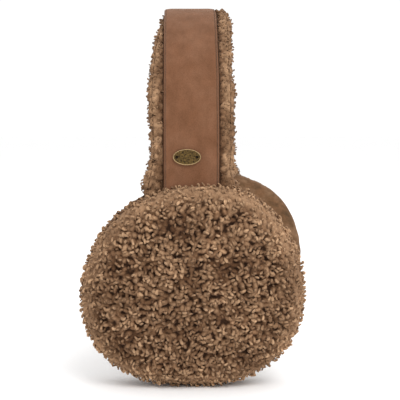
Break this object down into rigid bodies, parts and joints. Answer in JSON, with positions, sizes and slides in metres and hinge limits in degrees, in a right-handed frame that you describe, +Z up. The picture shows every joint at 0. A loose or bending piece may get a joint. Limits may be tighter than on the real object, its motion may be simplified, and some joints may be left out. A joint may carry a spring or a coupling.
{
  "type": "fur earmuffs",
  "caption": "Curly wool earmuffs: padded round pads with suede ear sides on a sprung headband of suede over wool, with a small oval brass plate.",
  "frame": {"origin": "middle of the base, between the two pads' feet, on the surface they stand on", "axes": "+Z up to the crown, Y from ear to ear with the badge side at -Y, X from front to back of the head"},
  "size_m": [0.1287, 0.1854, 0.197],
  "materials": {
    "suede": "matte reddish-brown suede, brushed nap",
    "wool": "tight mid-brown wool curls with lighter tips and dark gaps",
    "antique_brass": "antique brass, dark in the field and rubbed bright on the rim"
  },
  "bodies": {
    "root": {"suede_strap": "suede", "wool_band": "wool", "badge_plate": "antique_brass", "near_pad_wool": "wool", "near_pad_suede": "suede", "far_pad_wool": "wool", "far_pad_suede": "suede"}
  },
  "joints": []
}
